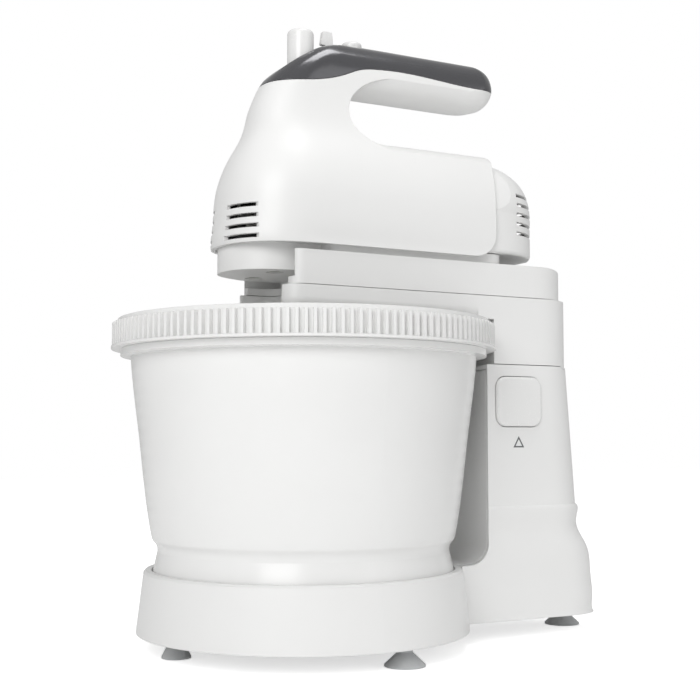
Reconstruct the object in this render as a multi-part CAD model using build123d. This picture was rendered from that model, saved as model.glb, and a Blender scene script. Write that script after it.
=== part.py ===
from build123d import *
from math import asin, atan2, cos, degrees, pi, radians, sin, sqrt, tan
import os

# Sizes in millimetres. The working frame has the bowl axis at x = y = 0, the
# column towards +Y, the visible side towards +X and the floor at z = 0.

# Wall and clearance values
wall = 2.4              # moulded housings
stand_wall = 3.0        # stand mouldings
seam = 0.3              # gap at parting lines and seats
run = 0.4               # gap round moving pieces
fit = 0.08              # radial gap of pins and shafts in their bores

# Stand
foot_height = 11.0
plinth_height = 36.0
plinth_bottom_r = 99.0
plinth_top_r = 95.0
plinth_step = 2.0       # depth of the bowl seat
column_half = 40.0
column_rear = 203.5     # rear edge of the foot flare, from the bowl axis
column_lean = 20.2      # how far the rear face comes forward at the top
flare_height = 70.0
front_flare = 13.0      # soft run-out from column front to plinth
side_foot = (82.0, 22.0)
rear_foot_y = 192.0
front_pad_y = -80.0
cup_r = 11.4
stem_r = 4.4

# Bowl
bowl_height = 147.0
bowl_wall = 2.2
bowl_foot_r = 89.6
bowl_neck_r = 87.0
bowl_low_r = 90.4
bowl_mid_r = 98.4
bowl_top_r = 104.0
bowl_rim_r = 107.0
bowl_flange_r = 110.0
pin_r = 6.0

# Toothed ring on the bowl
ring_teeth = 150
ring_height = 17.5
ring_tip_r = 115.0
ring_root_r = 112.0
ring_flange_r = 115.5
rib_tip = 1.9
rib_root = 2.3

# Bowl drive in the arm
pinion_teeth = 15
pinion_root_r = 9.0
pinion_tip_r = 13.0
pinion_offset = 125.6   # ring axis to pinion axis
gear_module = 1.5
gear_backlash = 0.4
gear_width = 7.0
shaft_gear_teeth = 36
idler_teeth = 32
collar_teeth = 20
collar_side = 20.0      # collar gear off the centre plane
post_r = 3.0

# Tilting arm
arm_half = 40.0
arm_clear = 4.0         # over the bowl rim
arm_tray = 14.5
arm_front = -25.0
arm_rear = 178.6
cradle_height = 20.5
cradle_floor = 4.4
fork_half = 30.0
fork_depth = -5.0
recess_r = 118.5
head_drop = 6.3         # head bottom below the ring
hinge_y = 171.0
hinge_rise = 10.0       # hinge axis over the head bottom
barrel_r = 11.5
hinge_pin_r = 3.0
ear_half = 21.0
ear_r = 6.0
ear_width = 6.0

# Release button on the column
button_w = 34.0
button_h = 31.0
button_corner = 7.0
button_y = 129.5
button_below = 23.0     # centre below the column top
button_proud = 2.0
button_depth = 4.0      # body of the button inside the column wall
button_travel = 4.0

# Mixer, heights counted from its skirt edge
skirt_gap = 3.5         # skirt edge over the cradle walls
mixer_half = 42.0
nose_y = -57.0
jacket_rear = 121.0
jacket_side_rear = 111.0
cover_rear = 157.0
body_top = 71.5
handle_low = 101.5
handle_top = 132.6
handle_half = 21.0
handle_rear = 132.6
neck_rear = 21.5
boss_low = -15.0
boss_half = 29.0
boss_rear = -10.0
tub_half = 36.2
tub_low = -18.6
eject_y = -3.3
eject_r = 8.2
eject_travel = 6.0
turbo_y = 32.3
turbo_r = 6.4
turbo_travel = 2.0
fin_reach = 17.6        # fin ahead of the turbo button
selector_swing = 30.0
spindle_side = 15.5
spindle_y = -27.0
socket_r = 3.2          # beater shaft socket in each spindle
socket_depth = 40.0
pusher_r = 2.6          # ejector pins above the sockets
motor_rise = 27.0
stator_r = 25.0
rotor_r = 14.0
motor_y = 78.0
motor_length = 36.0
shaft_r = 3.0
worm_r = 4.6

# Levels that follow from the sizes
plinth_low = foot_height
plinth_top = plinth_low + plinth_height
seat_z = plinth_top - plinth_step
rim_z = plinth_top + bowl_height
ring_z = rim_z - ring_height
head_z = ring_z - head_drop
column_z = head_z - run
arm_z = rim_z + arm_clear
part_z = arm_z + arm_tray
cradle_z = part_z + cradle_height
skirt_z = cradle_z + skirt_gap
hinge_z = head_z + hinge_rise
motor_z = skirt_z + motor_rise
bowl_y = (ring_flange_r - column_rear) / 2
column_front_r = bowl_flange_r + 3.5
column_top_rear = column_rear - column_lean
big = 400.0


def side(face, half):
    """A side profile drawn as (y, z), made solid to both sides."""
    return extrude(Plane.YZ * face, amount=half, both=True)


def poly(points, radius=0.0):
    """A closed outline with its corners rounded."""
    if radius:
        return make_face(FilletPolyline(*points, radius=radius, close=True))
    return make_face(Polyline(*points, close=True))


def drum(radius, low, high, x=0.0, y=0.0):
    """An upright cylinder between two levels."""
    return Pos(x, y, (low + high) / 2) * Cylinder(radius, high - low)


def rod(radius, first, last, y, z):
    """A cylinder along X between two side positions."""
    return Pos((first + last) / 2, y, z) * Rot(0, 90, 0) * Cylinder(radius, last - first)


def shaft(radius, first, last, z, x=0.0):
    """A cylinder along Y between two positions."""
    return Pos(x, (first + last) / 2, z) * Rot(90, 0, 0) * Cylinder(radius, last - first)


def block(x0, x1, y0, y1, z0, z1):
    """A box given by its limits."""
    return Pos((x0 + x1) / 2, (y0 + y1) / 2, (z0 + z1) / 2) * Box(x1 - x0, y1 - y0, z1 - z0)


def turned(points):
    """A full turn of a half profile given as (radius, z)."""
    return revolve(Plane.XZ * make_face(Polyline(*points, close=True)), Axis.Z)


def toothed(teeth, root_r, tip_r, root_w, tip_w, phase):
    """A toothed outline with straight flanks."""
    points = []
    for i in range(teeth):
        mid = phase + 2 * pi * i / teeth
        for radius, half in ((root_r, -root_w), (tip_r, -tip_w), (tip_r, tip_w), (root_r, root_w)):
            turn = mid + half / 2 / radius
            points.append((radius * cos(turn), radius * sin(turn)))
    return poly(points)


def spur(teeth, phase):
    """A spur gear outline of the arm train."""
    pitch_r = teeth * gear_module / 2
    thick = pi * gear_module / 2 - gear_backlash
    slope = tan(radians(20))
    root_w = thick + 2 * gear_module * slope
    tip_w = thick - 1.7 * gear_module * slope
    return toothed(teeth, pitch_r - 1.2 * gear_module, pitch_r + 0.85 * gear_module, root_w, tip_w, phase)


def meshing(phase, teeth, direction, next_teeth):
    """Phase of the next gear, met in the given direction."""
    part = (direction - phase) * teeth / (2 * pi)
    return direction + pi - (0.5 - part) * 2 * pi / next_teeth


parts = {}

# Plinth and column front in one moulding
plinth = turned([
    (0, seat_z), (bowl_foot_r + 0.8, seat_z), (bowl_foot_r + 0.8, plinth_top), (plinth_top_r - 1.2, plinth_top),
    (plinth_top_r, plinth_top - 1.2), (plinth_bottom_r, plinth_low), (plinth_bottom_r - stand_wall, plinth_low),
    (plinth_top_r - stand_wall, seat_z - stand_wall), (0, seat_z - stand_wall)])
front_angle = degrees(asin((column_half - stand_wall - seam) / (column_front_r + stand_wall)))
flare_start = column_front_r - front_flare
front_panel = make_face(
    Line((column_front_r, column_z - stand_wall - seam), (column_front_r, plinth_top + front_flare))
    + RadiusArc((column_front_r, plinth_top + front_flare), (flare_start, plinth_top), front_flare)
    + Polyline((flare_start, plinth_top), (plinth_top_r - 4, plinth_top), (plinth_top_r - 4, plinth_top - 3),
               (column_front_r + stand_wall, plinth_top - 3),
               (column_front_r + stand_wall, column_z - stand_wall - seam),
               (column_front_r, column_z - stand_wall - seam)))
front_panel = revolve(Plane.XZ * front_panel, Axis.Z, revolution_arc=2 * front_angle)
front_panel = Rot(0, 0, 90 - front_angle) * front_panel
base_body = plinth + front_panel
base_body -= drum(pin_r + fit, seat_z - stand_wall - 1, seat_z + 1)
parts["base_body"] = base_body


def d_outline(half, front, rear, corner):
    """Plan outline with straight sides and a soft round back."""
    right = Bezier((half, rear - corner), (half, rear - corner * 0.36), (half * 0.62, rear), (0, rear))
    left = Bezier((0, rear), (-half * 0.62, rear), (-half, rear - corner * 0.36), (-half, rear - corner))
    return make_face(right + left + Polyline(left @ 1, (-half, front), (half, front), right @ 0))


def column_slice(level, rear, inset=0.0, front=80.0):
    """Plan outline of the column at one level."""
    half = column_half + 1.2 * max(0.0, min(1.0, (rear - column_top_rear - 9) / 8)) - inset
    return Pos(0, 0, level) * d_outline(half, front, rear - inset, column_half * 0.84)


# Column shell: side and back walls with a closed top
flare = [column_rear - back for back in (0.0, 0.9, 1.7, 2.6, 4.1, 9.6, 12.6, 13.4)]
flare = [(plinth_low + 1 + i * flare_height / (len(flare) - 1), rear) for i, rear in enumerate(flare)]
column_form = loft([column_slice(*at) for at in flare])
column_form += loft([column_slice(*flare[-1]), column_slice(column_z, column_top_rear)])
column_void = loft([column_slice(*at, stand_wall, 60.0) for at in flare])
column_void += loft([column_slice(*flare[-1], stand_wall, 60.0),
                     column_slice(column_z - stand_wall, column_top_rear, stand_wall, 60.0)])
column_void += extrude(column_slice(*flare[0], stand_wall, 60.0), amount=-3)
bowl_space = make_face(
    Polyline((0, 0), (plinth_bottom_r + seam, 0), (plinth_bottom_r + seam, plinth_low),
             (plinth_top_r + seam, plinth_top - seam), (flare_start, plinth_top))
    + RadiusArc((flare_start, plinth_top), (column_front_r, plinth_top + front_flare), -front_flare)
    + Polyline((column_front_r, plinth_top + front_flare), (column_front_r, rim_z), (0, rim_z), (0, 0)))
bowl_space = revolve(Plane.XZ * bowl_space, Axis.Z)
button_z = column_z - button_below
button_hole = Pos(column_half, button_y, button_z) * Rot(0, 90, 0) * extrude(
    RectangleRounded(button_h + 2 * run, button_w + 2 * run, button_corner + run), amount=12, both=True)
ears = Part()
for s in (-1, 1):
    ear = side(poly([(hinge_y - ear_r, column_z - stand_wall), (hinge_y - ear_r, hinge_z), (hinge_y + ear_r, hinge_z),
                     (hinge_y + ear_r, column_z - stand_wall)]), ear_width / 2)
    ear += rod(ear_r, -ear_width / 2, ear_width / 2, hinge_y, hinge_z)
    ears += Pos(s * ear_half, 0, 0) * ear
saddle = rod(barrel_r + run, -big / 4, big / 4, hinge_y, hinge_z)
latch_y = 146.0
latch_half = 7.0
latch_slot = block(2.0, 16.0, latch_y - latch_half - run, latch_y + latch_half + run,
                   column_z - stand_wall - 1, column_z + 1)
column_shell = column_form - column_void - bowl_space - saddle - button_hole - latch_slot + ears
column_shell -= rod(hinge_pin_r + fit, -big / 4, big / 4, hinge_y, hinge_z)
column_shell = column_shell.solids().sort_by(SortBy.VOLUME)[-1]
parts["column_shell"] = column_shell

# Bottom covers
cover_z = plinth_low + 1.5
cover_t = 2.0
side_feet = [(s * side_foot[0], side_foot[1]) for s in (-1, 1)]
screw_spots = [(58.0, -55.0), (-58.0, -55.0), (58.0, 62.0), (-58.0, 62.0)]
screw_r = 1.5
base_cover = drum(plinth_bottom_r - stand_wall - 0.6, cover_z, cover_z + cover_t)
base_cover += drum(13.0, cover_z + cover_t, seat_z - stand_wall - 8.2)
for x, y in side_feet + [(0, front_pad_y)]:
    base_cover -= drum(stem_r + fit, cover_z - 1, cover_z + cover_t + 1, x, y)
for x, y in screw_spots:
    base_cover -= drum(screw_r + 0.15, cover_z - 1, cover_z + cover_t + 1, x, y)
parts["base_cover"] = base_cover
column_cover = extrude(column_slice(cover_z, column_rear - 1.0, stand_wall + seam), amount=cover_t)
column_cover -= drum(plinth_bottom_r + seam, 0, plinth_top)
column_cover -= drum(stem_r + fit, 0, plinth_top, 0, rear_foot_y)
parts["column_cover"] = column_cover


def suction_foot(x, y, radius):
    """A soft cup on a stem that is buttoned into the cover."""
    profile = make_face(
        Polyline((0, 3.2), (radius - 3.4, 0.9), (radius - 1.2, 0), (radius, 0), (radius, 1.0), (stem_r + 1.2, 6.4),
                 (stem_r, 7.6), (stem_r, cover_z - 2.2), (stem_r + 1.7, cover_z - 2.0), (stem_r + 1.7, cover_z - 0.1),
                 (stem_r, cover_z - 0.1), (stem_r, cover_z + cover_t + 0.1),
                 (stem_r + 1.5, cover_z + cover_t + 0.1), (stem_r - 1.0, cover_z + cover_t + 4), (0, cover_z + 6),
                 close=True))
    return Pos(x, y, 0) * revolve(Plane.XZ * profile, Axis.Z)


parts["suction_foot_right"] = suction_foot(*side_feet[0], cup_r)
parts["suction_foot_left"] = suction_foot(*side_feet[1], cup_r)
parts["suction_foot_rear"] = suction_foot(0, rear_foot_y, cup_r)
parts["front_pad"] = suction_foot(0, front_pad_y, cup_r - 3.0)

# Screws of the base cover, in posts under the bowl seat
base_screws = []
for x, y in screw_spots:
    parts["base_body"] += drum(4.2, cover_z + cover_t + 0.1, seat_z - 1, x, y)
    parts["base_body"] -= drum(screw_r + fit, cover_z, cover_z + 14, x, y)
    base_screws.append(drum(3.0, cover_z - 1.4, cover_z - 0.05, x, y)
                       + drum(screw_r, cover_z - 0.05, cover_z + 12, x, y))
parts["base_screws"] = Part() + base_screws

# Centre pin that the bowl turns on
pin_top = seat_z + 7.0
parts["bowl_pin"] = turned([
    (0, seat_z - stand_wall - 8), (11, seat_z - stand_wall - 8), (11, seat_z - stand_wall - 0.1),
    (pin_r, seat_z - stand_wall - 0.1), (pin_r, pin_top - 1.5), (pin_r - 1.5, pin_top), (0, pin_top)])

# Bowl: turned wall with foot ring, hub and rim
bowl_z = seat_z + seam
neck_top = bowl_z + 12.5
mid_z = bowl_z + 79.0
floor_z = bowl_z + 10.0
hub_r = 13.0


def bowl_side(inset, start_z):
    """Bowl wall line from the floor corner to the rim."""
    return Spline((bowl_low_r - inset, start_z), (bowl_mid_r - inset, mid_z),
                  (bowl_top_r - inset, ring_z - 4.5), tangents=((0.22, 1), (0.07, 1)))


bowl_outer = bowl_side(0, bowl_z + 20.5)
bowl_inner = bowl_side(bowl_wall, floor_z + 15)
bowl_face = make_face(
    bowl_outer
    + Polyline(bowl_outer @ 1, (bowl_flange_r, ring_z - 4.0), (bowl_flange_r, ring_z - 0.1),
               (bowl_rim_r, ring_z - 0.1), (bowl_rim_r, rim_z), (bowl_rim_r - bowl_wall, rim_z),
               (bowl_rim_r - bowl_wall, ring_z + 3), bowl_inner @ 1)
    + bowl_inner
    + Spline(bowl_inner @ 0, (bowl_low_r - bowl_wall - 4.2, floor_z + 4.0), (bowl_low_r - bowl_wall - 14, floor_z),
             tangents=((-0.22, -1), (-1, 0)))
    + Polyline((bowl_low_r - bowl_wall - 14, floor_z), (0, floor_z), (0, pin_top + 0.4), (pin_r + fit, pin_top + 0.4),
               (pin_r + fit, bowl_z + 0.6), (hub_r, bowl_z + 0.6), (hub_r, floor_z - bowl_wall),
               (bowl_foot_r - 7, floor_z - bowl_wall), (bowl_foot_r - 5, bowl_z), (bowl_foot_r - 0.8, bowl_z),
               (bowl_foot_r, bowl_z + 0.8), (bowl_neck_r, neck_top))
    + Spline((bowl_neck_r, neck_top), (bowl_neck_r + 1.0, neck_top + 4.5), bowl_outer @ 0,
             tangents=((-0.05, 1), (0.22, 1))))
parts["bowl"] = revolve(Plane.XZ * bowl_face, Axis.Z)

# Ring: ribs standing on a bottom flange, open above for the pinion
flange_t = 1.6
band_h = 2.6
ring = extrude(Pos(0, 0, ring_z + flange_t) * toothed(ring_teeth, ring_root_r, ring_tip_r, rib_root, rib_tip, pi / 2),
               amount=ring_height - flange_t - band_h)
ring += drum(ring_flange_r, ring_z, ring_z + flange_t)
ring += drum(ring_root_r - 0.3, ring_z + flange_t, rim_z)
ring -= drum(bowl_rim_r + fit, ring_z - 1, rim_z + 1)
parts["bowl_ring"] = ring


def arm_plan(inset=0.0, front=arm_front, rear=arm_rear):
    """Plan outline of the arm."""
    return d_outline(arm_half - inset, front, rear - inset, arm_half * 0.84)


# Gear places of the bowl drive, from the ring forward to the fork
pinion_at = (0.0, pinion_offset)
rear_idler_at = (0.0, pinion_offset - (shaft_gear_teeth + idler_teeth) * gear_module / 2)
front_idler_at = (0.0, rear_idler_at[1] - idler_teeth * gear_module)
collar_gap = (idler_teeth + collar_teeth) * gear_module / 2
collar_at = (collar_side, front_idler_at[1] - sqrt(collar_gap ** 2 - collar_side ** 2))
pinion_phase = meshing(pi / 2, ring_teeth, pi / 2, pinion_teeth)
rear_idler_phase = meshing(0.0, shaft_gear_teeth, -pi / 2, idler_teeth)
front_idler_phase = meshing(rear_idler_phase, idler_teeth, -pi / 2, idler_teeth)
collar_way = atan2(collar_at[1] - front_idler_at[1], collar_at[0] - front_idler_at[0])
collar_phase = meshing(front_idler_phase, idler_teeth, collar_way, collar_teeth)
tray_z = arm_z + 4.6
gear_z = tray_z + run
gear_top = gear_z + gear_width
pinion_low = ring_z + flange_t + 1.2
pinion_high = rim_z - band_h
pivot_r = 4.5

# Lower arm: gear tray in front, head block over the column behind
lower_front = arm_front - 4.0
barrel_low = (hinge_y - sqrt(barrel_r ** 2 - hinge_rise ** 2), head_z)
barrel_end = (hinge_y + barrel_r * cos(radians(50)), hinge_z + barrel_r * sin(radians(50)))
tray_end = pinion_offset + 14.0
tray_form = extrude(Pos(0, (lower_front + tray_end) / 2, arm_z)
                    * RectangleRounded(2 * arm_half, tray_end - lower_front, 9.0), amount=arm_tray)
tray_form = fillet(tray_form.faces().sort_by(Axis.Z)[0].edges(), 7.0)
head_face = make_face(
    Polyline((100, part_z), (100, head_z), barrel_low)
    + ThreePointArc(barrel_low, (hinge_y + barrel_r * cos(radians(-30)), hinge_z + barrel_r * sin(radians(-30))),
                    barrel_end)
    + Polyline(barrel_end, (arm_rear, part_z), (100, part_z)))
head_plan = extrude(arm_plan(rear=hinge_y + barrel_r), amount=big)
arm_lower = tray_form + (side(head_face, arm_half) & head_plan)
fork = extrude(Pos(0, fork_depth - 40, 0) * RectangleRounded(2 * fork_half, 80, 12), amount=big)
arm_lower -= fork - drum(collar_teeth * gear_module / 2 + 3.4, 0, tray_z, *collar_at)
arm_lower -= drum(recess_r, head_z - 1, arm_z)
gear_places = [(collar_teeth, collar_at), (idler_teeth, front_idler_at), (idler_teeth, rear_idler_at),
               (shaft_gear_teeth, pinion_at)]
for teeth, place in gear_places:
    arm_lower -= drum(teeth * gear_module / 2 + gear_module + 0.9, tray_z, part_z + 1, *place)
arm_lower -= drum(pinion_tip_r + 1.2, head_z + 4, arm_z + 0.1, *pinion_at)
arm_lower -= drum(pivot_r + fit, arm_z - 1, tray_z + 1, *pinion_at)
arm_lower -= drum(post_r + fit, head_z + 1.5, head_z + 5, *pinion_at)
for teeth, place in gear_places[:3]:
    arm_lower -= drum(post_r + 0.02, arm_z + 1.5, tray_z + 1, *place)
for s in (-1, 1):
    arm_lower -= rod(barrel_r + run, s * ear_half - ear_width / 2 - run, s * ear_half + ear_width / 2 + run,
                     hinge_y, hinge_z)
arm_lower -= rod(hinge_pin_r + fit, -ear_half - 5.5, ear_half + 5.5, hinge_y, hinge_z)
keeper_slot = block(-2, 16.0, latch_y - latch_half - 2, latch_y + latch_half + 4, head_z - 1, head_z + 9)
arm_lower -= keeper_slot
arm_screw_spots = [(33.5, 50.0), (-33.5, 50.0), (33.5, 100.0), (-33.5, 100.0)]
for x, y in arm_screw_spots:
    arm_lower -= drum(screw_r + fit, arm_z - 1, part_z + 1, x, y)
    arm_lower -= drum(3.2, arm_z - 1, arm_z + 4.0, x, y)
parts["arm_lower"] = arm_lower

# Upper arm: cradle walls that hold the mixer, closed deck behind it
deck_y = cover_rear + 4.0
deck_face = make_face(
    Polyline((arm_front, part_z + seam), (arm_front, cradle_z), (arm_rear - 30, cradle_z))
    + Spline((arm_rear - 30, cradle_z), (arm_rear - 14, cradle_z - 0.9), (arm_rear - 4.8, cradle_z - 3.8),
             (arm_rear - 1.6, cradle_z - 7.6), (arm_rear - 0.4, part_z + seam), tangents=((1, 0), (0, -1)))
    + Line((arm_rear - 0.4, part_z + seam), (arm_front, part_z + seam)))
cradle_plan = fillet(arm_plan().vertices().group_by(Axis.Y)[0], 6.0)
arm_upper = side(deck_face, arm_half) & extrude(cradle_plan, amount=big)
seat_plan = arm_plan(inset=stand_wall, front=arm_front - 20, rear=deck_y)
arm_upper -= extrude(Pos(0, 0, part_z + seam + cradle_floor) * seat_plan, amount=big)
arm_upper -= fork
for x, y in arm_screw_spots:
    arm_upper += drum(4.0, part_z + seam, part_z + seam + cradle_floor, x, y)
    arm_upper -= drum(screw_r + fit, part_z, part_z + seam + cradle_floor - 1.0, x, y)
parts["arm_upper"] = arm_upper
arm_screws = [drum(2.9, arm_z + 1.6, arm_z + 3.95, x, y) + drum(screw_r, arm_z + 3.95, part_z + 3.2, x, y)
              for x, y in arm_screw_spots]
parts["arm_screws"] = Part() + arm_screws
parts["hinge_pin"] = rod(hinge_pin_r, -ear_half - 5, ear_half + 5, hinge_y, hinge_z)
gear_posts = [drum(post_r, arm_z + 1.6, gear_top + 0.5, *place) for teeth, place in gear_places[:3]]
parts["gear_posts"] = Part() + gear_posts


def train_gear(teeth, phase, place, bore):
    """One gear of the arm train on its post."""
    gear = extrude(Pos(*place, gear_z) * spur(teeth, phase), amount=gear_width)
    pitch_r = teeth * gear_module / 2
    if pitch_r > 16:
        for level in (gear_z, gear_top - 1.8):
            gear -= (drum(pitch_r - 4.5, level, level + 1.8, *place) - drum(bore + 4, level, level + 1.8, *place))
    return gear - drum(bore, gear_z - 1, gear_top + 1, *place)


parts["collar_gear"] = train_gear(collar_teeth, collar_phase, collar_at, post_r + fit)
parts["front_idler"] = train_gear(idler_teeth, front_idler_phase, front_idler_at, post_r + fit)
parts["rear_idler"] = train_gear(idler_teeth, rear_idler_phase, rear_idler_at, post_r + fit)
parts["pinion_gear"] = train_gear(shaft_gear_teeth, 0.0, pinion_at, pivot_r + 0.02)
bowl_pinion = extrude(
    Pos(*pinion_at, pinion_low) * toothed(pinion_teeth, pinion_root_r, pinion_tip_r, 2.6, 1.1, pinion_phase),
    amount=pinion_high - pinion_low)
bowl_pinion += drum(pivot_r, pinion_high, gear_top, *pinion_at)
bowl_pinion += drum(post_r, head_z + 1.8, pinion_low, *pinion_at)
parts["bowl_pinion"] = bowl_pinion

# Release button with its latch slide
button_face = RectangleRounded(button_h, button_w, button_corner)
release_button = Pos(column_half - button_depth, button_y, button_z) * Rot(0, 90, 0) * extrude(
    button_face, amount=button_proud + button_depth)
release_button = fillet(release_button.faces().sort_by(Axis.X)[-1].edges(), 1.6)
slide_z = column_z - stand_wall - 9.0
release_button -= block(column_half - button_depth - 1, column_half - 1, button_y - button_w / 2 + 2.5, button_y + button_w / 2 - 2.5,
                        button_z - button_h / 2 + 2.5, button_z + button_h / 2 - 2.5)
release_button += block(column_half - 7, column_half - 1, latch_y - 4, latch_y - 1, slide_z - 9, slide_z - 3)
parts["release_button"] = release_button
hook_x = 9.0
latch_slide = block(hook_x - 5, column_half - 7.1, latch_y - latch_half, latch_y + latch_half, slide_z - 9, slide_z - 5)
latch_slide += block(hook_x - 2, hook_x + 2, latch_y - latch_half, latch_y + latch_half, slide_z - 5, head_z + 6)
latch_slide += block(hook_x, hook_x + 3.6, latch_y - latch_half, latch_y + latch_half, head_z + 3, head_z + 6)
parts["latch_slide"] = latch_slide

# Mixer form: plan slices from skirt to handle crown, as (height, nose set-back, half width)
mixer_slices = [
    (0.0, 0.0, 1.0), (0.07, 0.1, 1.0), (0.14, 1.0, 1.0), (0.21, 1.6, 0.995), (0.28, 3.1, 0.975), (0.35, 6.0, 0.918),
    (0.42, 10.1, 0.825), (0.49, 15.3, 0.712), (0.56, 18.8, 0.612), (0.63, 20.9, 0.552), (0.70, 24.3, 0.52),
    (0.77, 28.9, 0.503), (0.84, 36.9, 0.49), (0.90, 46.2, 0.452), (0.945, 55.5, 0.376), (0.975, 66.0, 0.27),
    (1.0, 79.0, 0.09)]
skirt_round = 14.5
handle_round = 22.0
gap_flare = [(-54.0, 22.0), (-36.0, 9.5), (-18.0, 1.6), (0.0, 0.0), (18.0, 1.6), (36.0, 9.5), (54.0, 22.0)]
handle_dome = [(0.0, 1.0), (0.25, 0.985), (0.5, 0.925), (0.75, 0.765), (0.9, 0.55), (1.0, 0.3)]


def mixer_slice(level, nose, half):
    """Plan outline with a round nose, open-ended to the rear."""
    end = cover_rear + 10
    line = Spline((half, nose + 1.25 * half), (half * 0.87, nose + half * 0.5), (half * 0.52, nose + half * 0.125),
                  (0, nose), (-half * 0.52, nose + half * 0.125), (-half * 0.87, nose + half * 0.5),
                  (-half, nose + 1.25 * half), tangents=((0, -1), (0, 1)))
    return Pos(0, 0, level) * make_face(line + Polyline(line @ 1, (-half, end), (half, end), line @ 0))


def mixer_loft(inset):
    """The slices joined in one smooth form."""
    slices = []
    if inset:
        for drop in (30, 20, 10):
            slices.append(mixer_slice(skirt_z - drop, nose_y + inset, mixer_half - inset))
    for rise, back, part in mixer_slices:
        level = skirt_z + rise * (handle_top + 0.5 - inset)
        slices.append(mixer_slice(level, nose_y + back + inset, max(part * mixer_half - inset, 1.5)))
    return loft(slices)


def mixer_side(inset):
    """Side outline from the nose over the handle to the rear edge."""
    low = skirt_z - (20 if inset else 0)
    rear = cover_rear + 8 if inset else jacket_rear + 1
    top = Spline((nose_y + 30 + inset, skirt_z + 104 - 0.5 * inset), (-3.6 + 0.4 * inset, skirt_z + 122 - inset),
                 (8.8, skirt_z + 128.3 - inset), (27.8, skirt_z + 132.2 - inset), (75, skirt_z + handle_top - inset),
                 (handle_rear + 4, skirt_z + handle_top - 1.6 - inset), tangents=((0.8, 0.8), (1, -0.05)))
    rest = Polyline(top @ 1, (handle_rear + 4, skirt_z + 90), (rear, skirt_z + 90), (rear, low), (nose_y - 10, low),
                    (nose_y - 10, top.position_at(0).Y), top @ 0)
    return make_face(top + rest)


def along(face):
    """A front outline made solid along the whole length."""
    return extrude(Plane.XZ * face, amount=big, both=True)


def body_crown(inset):
    """Rounded top of the body below the finger gap."""
    half = mixer_half + 1 - inset
    high = skirt_z + body_top - inset
    line = Spline((half, high - 30), (half * 0.93, high - 19), (half * 0.76, high - 10), (half * 0.46, high - 3.2),
                  (0, high), (-half * 0.46, high - 3.2), (-half * 0.76, high - 10), (-half * 0.93, high - 19),
                  (-half, high - 30))
    return along(make_face(line + Polyline(line @ 1, (-half, skirt_z - 30), (half, skirt_z - 30), line @ 0)))


def handle_belly(inset):
    """Rounded underside of the handle above the finger gap."""
    half = handle_half + 1 - inset
    low = skirt_z + handle_low + inset
    line = Spline((half, low + 16), (half * 0.93, low + 8.5), (half * 0.7, low + 3.2), (0, low),
                  (-half * 0.7, low + 3.2), (-half * 0.93, low + 8.5), (-half, low + 16))
    return along(make_face(line + Polyline(line @ 1, (-half, skirt_z + 200), (half, skirt_z + 200), line @ 0)))


def finger_gap(inset):
    """The space under the handle, flared where the neck meets body, handle and sides."""
    sections = []
    for x, flare in gap_flare:
        neck = neck_rear - inset - flare
        line = Spline((neck + 46, skirt_z + 57), (neck + 16, skirt_z + 67), (neck + 6, skirt_z + 73.5),
                      (neck + 1, skirt_z + 80.5), (neck, skirt_z + 87), (neck + 1.3, skirt_z + 93),
                      (neck + 7, skirt_z + 100.5), (neck + 18, skirt_z + 107), (neck + 46, skirt_z + 113))
        gap = make_face(line + Polyline(line @ 1, (jacket_rear + 60, skirt_z + 113), (jacket_rear + 60, skirt_z + 38),
                                        (neck + 46, skirt_z + 38), line @ 0))
        sections.append(Plane.YZ.offset(x) * gap)
    return loft(sections) - body_crown(inset) - handle_belly(inset)


def handle_end(inset):
    """What is cut away round the domed rear end of the handle."""
    half = handle_half + 0.3 - inset
    mid = skirt_z + (handle_low + handle_top) / 2
    high = (handle_top - handle_low) / 2 + 0.3 - inset
    outline = [(0.0, -1.0), (0.7, -0.8), (0.93, -0.49), (1.0, -0.18), (0.94, 0.2), (0.78, 0.575), (0.55, 0.82)]
    outline += [(0.0, 1.0)] + [(-x, z) for x, z in outline[:0:-1]]
    sections = []
    for share, size in handle_dome:
        way = handle_rear - inset - handle_round * (1 - share)
        points = [(x * half * size, mid + z * high * size) for x, z in outline]
        sections.append(Plane.XZ.offset(-way) * make_face(Spline(*points, periodic=True)))
    start = handle_rear - inset - handle_round
    return block(-big, big, start, start + big, skirt_z + 90, skirt_z + 200) - loft(sections)


def mixer_form(inset):
    """The mixer's outer form, or the space inside it."""
    form = mixer_loft(inset) & side(mixer_side(inset), mixer_half + 10)
    return form - finger_gap(inset) - handle_end(inset)


mixer_outer = mixer_form(0.0)
bow_half = mixer_half + 4
rear_bow = ThreePointArc((-bow_half, jacket_side_rear), (0, jacket_rear), (bow_half, jacket_side_rear))
rear_bow += Polyline(rear_bow @ 1, (bow_half, nose_y - 20), (-bow_half, nose_y - 20), rear_bow @ 0)
kept = Pos(0, 0, skirt_z) * extrude(make_face(rear_bow), amount=body_top + 8)
kept = fillet(kept.faces().sort_by(Axis.Z)[0].edges().sort_by(Axis.Y)[-1], skirt_round)
mixer_outer -= block(-big, big, jacket_side_rear - 2 * skirt_round, cover_rear, skirt_z - 1,
                     skirt_z + body_top + 8) - kept
mixer_void = mixer_form(wall)


def cap_side(shift):
    """Everything above the line where the dark handle cap meets the jacket."""
    line = Spline((nose_y - 8, skirt_z + 99.6 + shift), (nose_y + 27, skirt_z + 100.9 + shift),
                  (2, skirt_z + 103.8 + shift), (18.5, skirt_z + 109.1 + shift), (28, skirt_z + 113.1 + shift),
                  (40, skirt_z + 115.0 + shift), (56, skirt_z + 115.7 + shift),
                  (handle_rear + 10, skirt_z + 115.7 + shift))
    return side(make_face(line + Polyline(line @ 1, (handle_rear + 10, skirt_z + 160), (nose_y - 8, skirt_z + 160),
                                          line @ 0)), mixer_half + 10)


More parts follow.
